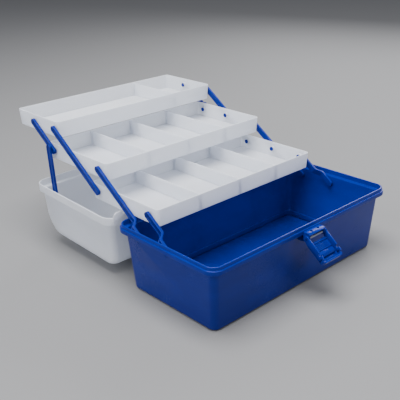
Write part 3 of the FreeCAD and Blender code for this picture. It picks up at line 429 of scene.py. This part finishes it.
def lid_ring(height, thinner, rounding=0.0):
    """Plan of the lid's wall at a height above its rim, lid closed."""
    share = (height - 12.0) / 68.4
    top = 80.4 - thinner

    def shoulder(radius):
        above = max(0.0, height - (top - radius))
        return radius - math.sqrt(max(radius ** 2 - above ** 2, 0.0))

    half_x = 166.0 - 5.5 * share - thinner - shoulder(8.5 - thinner)
    back = 85.0 - 3.8 * share - thinner - shoulder(14.0 - thinner)
    front = -85.0 + 2.0 * share + thinner + shoulder(36.0 - thinner)
    return (half_x, (back - front) / 2, 11.0 - thinner, LID_RIM_Z + height, (back + front) / 2, rounding)


def lid_heights(thinner):
    top = 80.4 - thinner
    large, middle, small = 36.0 - thinner, 14.0 - thinner, 8.5 - thinner
    heights = {top - large + large * math.sin(math.radians(a)) for a in (0, 8, 16, 24, 31, 38)}
    heights |= {top - middle + middle * math.sin(math.radians(a)) for a in (0, 10, 20, 30)}
    heights |= {top - small + small * math.sin(math.radians(a)) for a in (10, 25, 40, 52, 64, 74, 82, 87)}
    return sorted(heights | {top})


lid = bmesh.new()
outer = [lid_ring(h, 0.0) for h in reversed(lid_heights(0.0))]
inner = [lid_ring(h, 2.0) for h in lid_heights(2.0)]
moulded_shell(lid, outer + [
    (166.0, 85.0, 11.0, LID_RIM_Z + 12.0, 0, 0.8),
    (172.0, 91.0, 17.0, LID_RIM_Z + 12.0, 0, 1.4),
    (172.0, 91.0, 17.0, LID_RIM_Z, 0, 0.7),
    (170.4, 89.4, 15.4, LID_RIM_Z, 0, 0.5),
    (170.4, 89.4, 15.4, LID_RIM_Z + 10.4, 0, 0.6),
    (164.1, 83.1, 9.0, LID_RIM_Z + 10.4, 0, 0.8),
] + inner, segments=10)
for sign in (-1, 1):
    leaf = [(sign * x, 91.2, z) for x, z in (
        (80.0, 95.95), (80.0, 86.95), (149.6, 86.95), (149.6, 81.75), (158.5, 81.75), (161.5, 82.6),
        (163.7, 84.8), (164.5, 87.7), (164.5, 95.95))]
    slab(lid, leaf, (0, 1.8, 0), 0.5)
    block(lid, (min(sign * 80, sign * 164.5), 89.6, 93.0), (max(sign * 80, sign * 164.5), 91.4, 95.9), 0.2)
    centre = sign * HINGE_CENTRE
    for low, high in ((centre - 18.5, centre - 6.5), (centre + 6.5, centre + 18.5)):
        drum(lid, low, high, HINGE_Y, HINGE_Z, BARREL_RADIUS, 0.4)
        slab(lid, [(low, 90.0, HINGE_Z), (low, HINGE_Y, HINGE_Z), (low, HINGE_Y + 4.1, HINGE_Z),
                   (low, 90.0, 100.9)], (high - low, 0, 0), 0.2)
    x_in, x_out = sorted((sign * 156.2, sign * 161.0))
    drum(lid, x_in, x_out, -60.0, LID_RIM_Z + 67.0, 3.9, 0.4)
bmesh.ops.transform(lid, matrix=OPEN, verts=lid.verts)
piece(lid, "lid", "lid", frosted, ("lid_shell",))
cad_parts["lid_catch"].data.materials.clear()
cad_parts["lid_catch"].data.materials.append(frosted)
for name in ("handle", "handle_brackets"):
    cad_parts[name].data.materials.clear()
    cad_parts[name].data.materials.append(blue_plastic)

# ---------------------------------------------------------------------------
# Three shallow trays in the same milky plastic. Each end wall carries a row
# of round bosses for the arms' studs; pairs of upright ribs on the long walls
# hold loose dividers.
# ---------------------------------------------------------------------------
ARM_LENGTH, OPEN_ANGLE = 59.5, math.radians(35)
STAGE = Vector((0, ARM_LENGTH * math.cos(OPEN_ANGLE), ARM_LENGTH * math.sin(OPEN_ANGLE)))
SPACING = Vector((0, PIN_SPACING, 0))
TUB_PIN = Vector((0, 0, TUB_PIN_Z))
BOTTOM_PIN = TUB_PIN + STAGE
MIDDLE_PIN = BOTTOM_PIN + SPACING + STAGE
TOP_PIN = MIDDLE_PIN + SPACING + STAGE


def tray(name, pin, depth, overhang, pins, places):
    """One tray round its front pins, with its bosses, guide ribs and dividers."""
    front = pin.y - overhang
    back = front + depth
    centre = (front + back) / 2
    rim = pin.z + 10.2
    floor = rim - 24.0
    bm = bmesh.new()
    half = depth / 2
    moulded_shell(bm, [
        (146.2, half - 1.3, 5.0, floor, centre, 1.5),
        (147.5, half, 5.0, rim, centre, 0.55),
        (145.9, half - 1.6, 3.4, rim, centre, 0.55),
        (144.69, half - 2.81, 3.4, floor + 1.6, centre, 1.3),
    ], segments=6)
    cutter = bmesh.new()
    for index in range(pins):
        y = pin.y + index * PIN_SPACING
        drum(cutter, -149, -141, y, pin.z, STUD_HOLE, 0.0)
        drum(cutter, 141, 149, y, pin.z, STUD_HOLE, 0.0)
    bm = carve(bm, cutter)
    for index in range(pins):
        y = pin.y + index * PIN_SPACING
        ring(bm, 143.3, 145.6, y, pin.z, 4.6, STUD_HOLE)
        ring(bm, -143.3, -145.6, y, pin.z, 4.6, STUD_HOLE)
    for place in places:
        for side in (-1, 1):
            low, high = sorted((place + side * 0.9, place + side * 2.3))
            block(bm, (low, front + 1.2, floor + 1.0), (high, front + 3.8, rim - 1.2), 0.25)
            block(bm, (low, back - 3.8, floor + 1.0), (high, back - 1.2, rim - 1.2), 0.25)
    piece(bm, name + "_tray_shell", name + "_tray", frosted, (name + "_tray",))
    for index, place in enumerate(places):
        wall = bmesh.new()
        top_in, low_in = 1.85, 3.1
        points = [(place - 0.75, front + low_in, floor + 1.75), (place - 0.75, back - low_in, floor + 1.75),
                  (place - 0.75, back - top_in, rim - 1.2), (place - 0.75, front + top_in, rim - 1.2)]
        slab(wall, points, (1.5, 0, 0), 0.4)
        number = str(index + 1)
        piece(wall, name + "_divider_wall_" + number, name + "_tray", frosted,
              (name + "_divider_" + number,))


quarter = 147.5 / 2
tray("bottom", BOTTOM_PIN, 140.5, 17.0, 3, (-quarter, 0.0, quarter))
tray("middle", MIDDLE_PIN, 140.5, 17.0, 3, (-quarter, 0.0, quarter))
tray("top", TOP_PIN, 108.5, 7.5, 2, (72.0,))

# ---------------------------------------------------------------------------
# The arms: blue moulded bars with round ends, a shallow channel down the
# outside, and studs moulded on that pass through the trays' end walls and
# show as round heads inside. The two lower pairs are cranked out to the tub.
# ---------------------------------------------------------------------------
ARM_IN, ARM_OUT = 148.2, 152.0


def arm(name, body, start, end, sign, studs, cranked=False, x_in=ARM_IN, x_out=ARM_OUT, width=8.6):
    """One bar from pin to pin, laid along Y, cranked if it starts on the tub, then turned up."""
    along = end - start
    length = along.length
    angle = math.atan2(along.z, along.y)
    half = width / 2
    outline = []
    for step in range(13):
        turn = math.radians(90 + 180 * step / 12)
        outline.append((half * math.cos(turn), half * math.sin(turn)))
    for step in range(13):
        turn = math.radians(-90 + 180 * step / 12)
        outline.append((length + half * math.cos(turn), half * math.sin(turn)))
    bm = bmesh.new()
    verts = [bm.verts.new((x_in, a, w)) for a, w in outline]
    face = bm.faces.new(verts)
    made = bmesh.ops.extrude_face_region(bm, geom=[face])["geom"]
    fresh = [v for v in made if isinstance(v, bmesh.types.BMVert)]
    bmesh.ops.translate(bm, verts=fresh, vec=(x_out - x_in, 0, 0))
    bm.faces.ensure_lookup_table()
    top = [f for f in bm.faces if all(abs(v.co.x - x_out) < 1e-4 for v in f.verts)]
    bmesh.ops.inset_region(bm, faces=top, thickness=1.9, depth=0.0, use_even_offset=True)
    inner_faces = [f for f in bm.faces if all(abs(v.co.x - x_out) < 1e-4 for v in f.verts)
                   and all(abs(v.co.z) < half - 1.5 for v in f.verts)]
    sunk = bmesh.ops.extrude_face_region(bm, geom=inner_faces)["geom"]
    low = [v for v in sunk if isinstance(v, bmesh.types.BMVert)]
    bmesh.ops.translate(bm, verts=low, vec=(-0.9, 0, 0))
    bmesh.ops.delete(bm, geom=[f for f in inner_faces if f.is_valid], context="FACES")
    sharp = [e for e in bm.edges if len(e.link_faces) == 2 and e.calc_face_angle(0) > 0.9]
    bmesh.ops.bevel(bm, geom=sharp, offset=0.55, offset_type="OFFSET", affect="EDGES",
                    segments=3, profile=0.5, material=-1, clamp_overlap=True)
    if cranked:
        for cut in range(17, 33):
            everything = list(bm.verts) + list(bm.edges) + list(bm.faces)
            bmesh.ops.bisect_plane(bm, geom=everything, plane_co=(0, cut, 0), plane_no=(0, 1, 0))
        wall = 170.0 - (11.5 - 5.5 * 77.0 / 83.4) - 2.2 - 0.7
        shift = wall - x_out
        for vert in bm.verts:
            share = min(1.0, max(0.0, (29.5 - vert.co.y) / 11.5))
            vert.co.x += shift * share * share * (3 - 2 * share)
        drum(bm, x_out + shift - 0.6, 163.3, 0, 0, 2.5, 0.3)
    turn = Matrix.Rotation(angle, 4, "X")
    bmesh.ops.transform(bm, matrix=Matrix.Translation(start) @ turn, verts=bm.verts)
    for pin in studs:
        drum(bm, 142.6, x_in + 0.4, pin.y, pin.z, 2.5, 0.0)
        drum(bm, 141.7, 143.0, pin.y, pin.z, 3.3, 0.5)
        drum(bm, x_out - 1.2, x_out - 0.3, pin.y, pin.z, 2.0, 0.3)
    if sign < 0:
        bmesh.ops.mirror(bm, geom=list(bm.verts) + list(bm.edges) + list(bm.faces), axis="X", merge_dist=-1)
        right = [v for v in bm.verts if v.co.x > 0]
        bmesh.ops.delete(bm, geom=right, context="VERTS")
    side = "right" if sign > 0 else "left"
    piece(bm, name + "_bar_" + side, body, blue_plastic, (name + "_" + side,))


upper_start = BOTTOM_PIN + SPACING * 2
top_start = MIDDLE_PIN + SPACING * 2
for sign in (-1, 1):
    arm("front_arm", "front_arms", TUB_PIN, BOTTOM_PIN, sign, [BOTTOM_PIN], cranked=True)
    arm("back_arm", "back_arms", TUB_PIN + SPACING, MIDDLE_PIN, sign, [BOTTOM_PIN + SPACING, MIDDLE_PIN],
        cranked=True)
    arm("upper_arm", "upper_arms", upper_start, TOP_PIN, sign, [upper_start, MIDDLE_PIN + SPACING, TOP_PIN])
    arm("top_arm", "top_arms", top_start, TOP_PIN + SPACING, sign, [top_start, TOP_PIN + SPACING])
    link_top = top_start + STAGE.normalized() * 8.0
    link_foot = OPEN @ Vector((0, -60.0, LID_RIM_Z + 67.0))
    arm("lid_link", "lid_links", link_top, link_foot, sign, [], x_in=152.5, x_out=155.7, width=9.4)

# ---------------------------------------------------------------------------
# The room: a wide plain pale floor, one big soft light overhead, weaker ones
# from the left and the front, and a long one low on the right for the gloss.
# ---------------------------------------------------------------------------
floor_bm = bmesh.new()
bmesh.ops.create_grid(floor_bm, x_segments=1, y_segments=1, size=6.0)
floor_mesh = bpy.data.meshes.new("floor")
floor_bm.to_mesh(floor_mesh)
floor_bm.free()
floor = bpy.data.objects.new("floor", floor_mesh)
bpy.context.scene.collection.objects.link(floor)
pale = Graph("pale_floor")
floor_mesh.materials.append(pale.surface(pale.node("ShaderNodeBsdfPrincipled", {}, {
    "Base Color": (0.22, 0.22, 0.225, 1), "Roughness": 0.8})))


def lamp(name, place, target, size, power, colour=(1, 1, 1)):
    data = bpy.data.lights.new(name, "AREA")
    data.shape = "RECTANGLE"
    data.size, data.size_y = size
    data.energy = power
    data.color = colour
    made = bpy.data.objects.new(name, data)
    made.location = place
    aim = Vector(target) - Vector(place)
    made.rotation_euler = aim.to_track_quat("-Z", "Y").to_euler()
    bpy.context.scene.collection.objects.link(made)


lamp("overhead", (-0.25, 0.0, 1.7), (0, 0.05, 0.1), (1.3, 1.0), 54)
lamp("left", (-1.6, -0.1, 1.1), (0, 0.1, 0.1), (0.8, 1.0), 18)
lamp("front", (0.5, -1.8, 1.4), (0, 0.1, 0.1), (1.0, 0.8), 12)
lamp("right", (1.6, 0.5, 0.95), (0, 0.0, 0.08), (1.7, 0.7), 26)

world = bpy.data.worlds.new("room")
world.use_nodes = True
world.node_tree.nodes["Background"].inputs["Color"].default_value = (0.75, 0.78, 0.85, 1)
world.node_tree.nodes["Background"].inputs["Strength"].default_value = 0.35
bpy.context.scene.world = world

# ---------------------------------------------------------------------------
# The camera: standing in front and to the left, looking slightly down.
# ---------------------------------------------------------------------------
camera_data = bpy.data.cameras.new("camera")
camera_data.sensor_width = 36.0
camera_data.lens = 61.56
camera = bpy.data.objects.new("camera", camera_data)
bpy.context.scene.collection.objects.link(camera)
bpy.context.scene.camera = camera
azimuth, elevation, roll = 0.7418, 0.4070, -0.0262
forward = Vector((math.sin(azimuth) * math.cos(elevation), math.cos(azimuth) * math.cos(elevation),
                  -math.sin(elevation)))
right = Vector((math.cos(azimuth), -math.sin(azimuth), 0))
up = right.cross(forward)
camera_x = right * math.cos(roll) + up * math.sin(roll)
camera_y = up * math.cos(roll) - right * math.sin(roll)
turned = Matrix((camera_x, camera_y, -forward)).transposed().to_4x4()
camera.matrix_world = Matrix.Translation((-0.6255, -0.5676, 0.4638)) @ turned
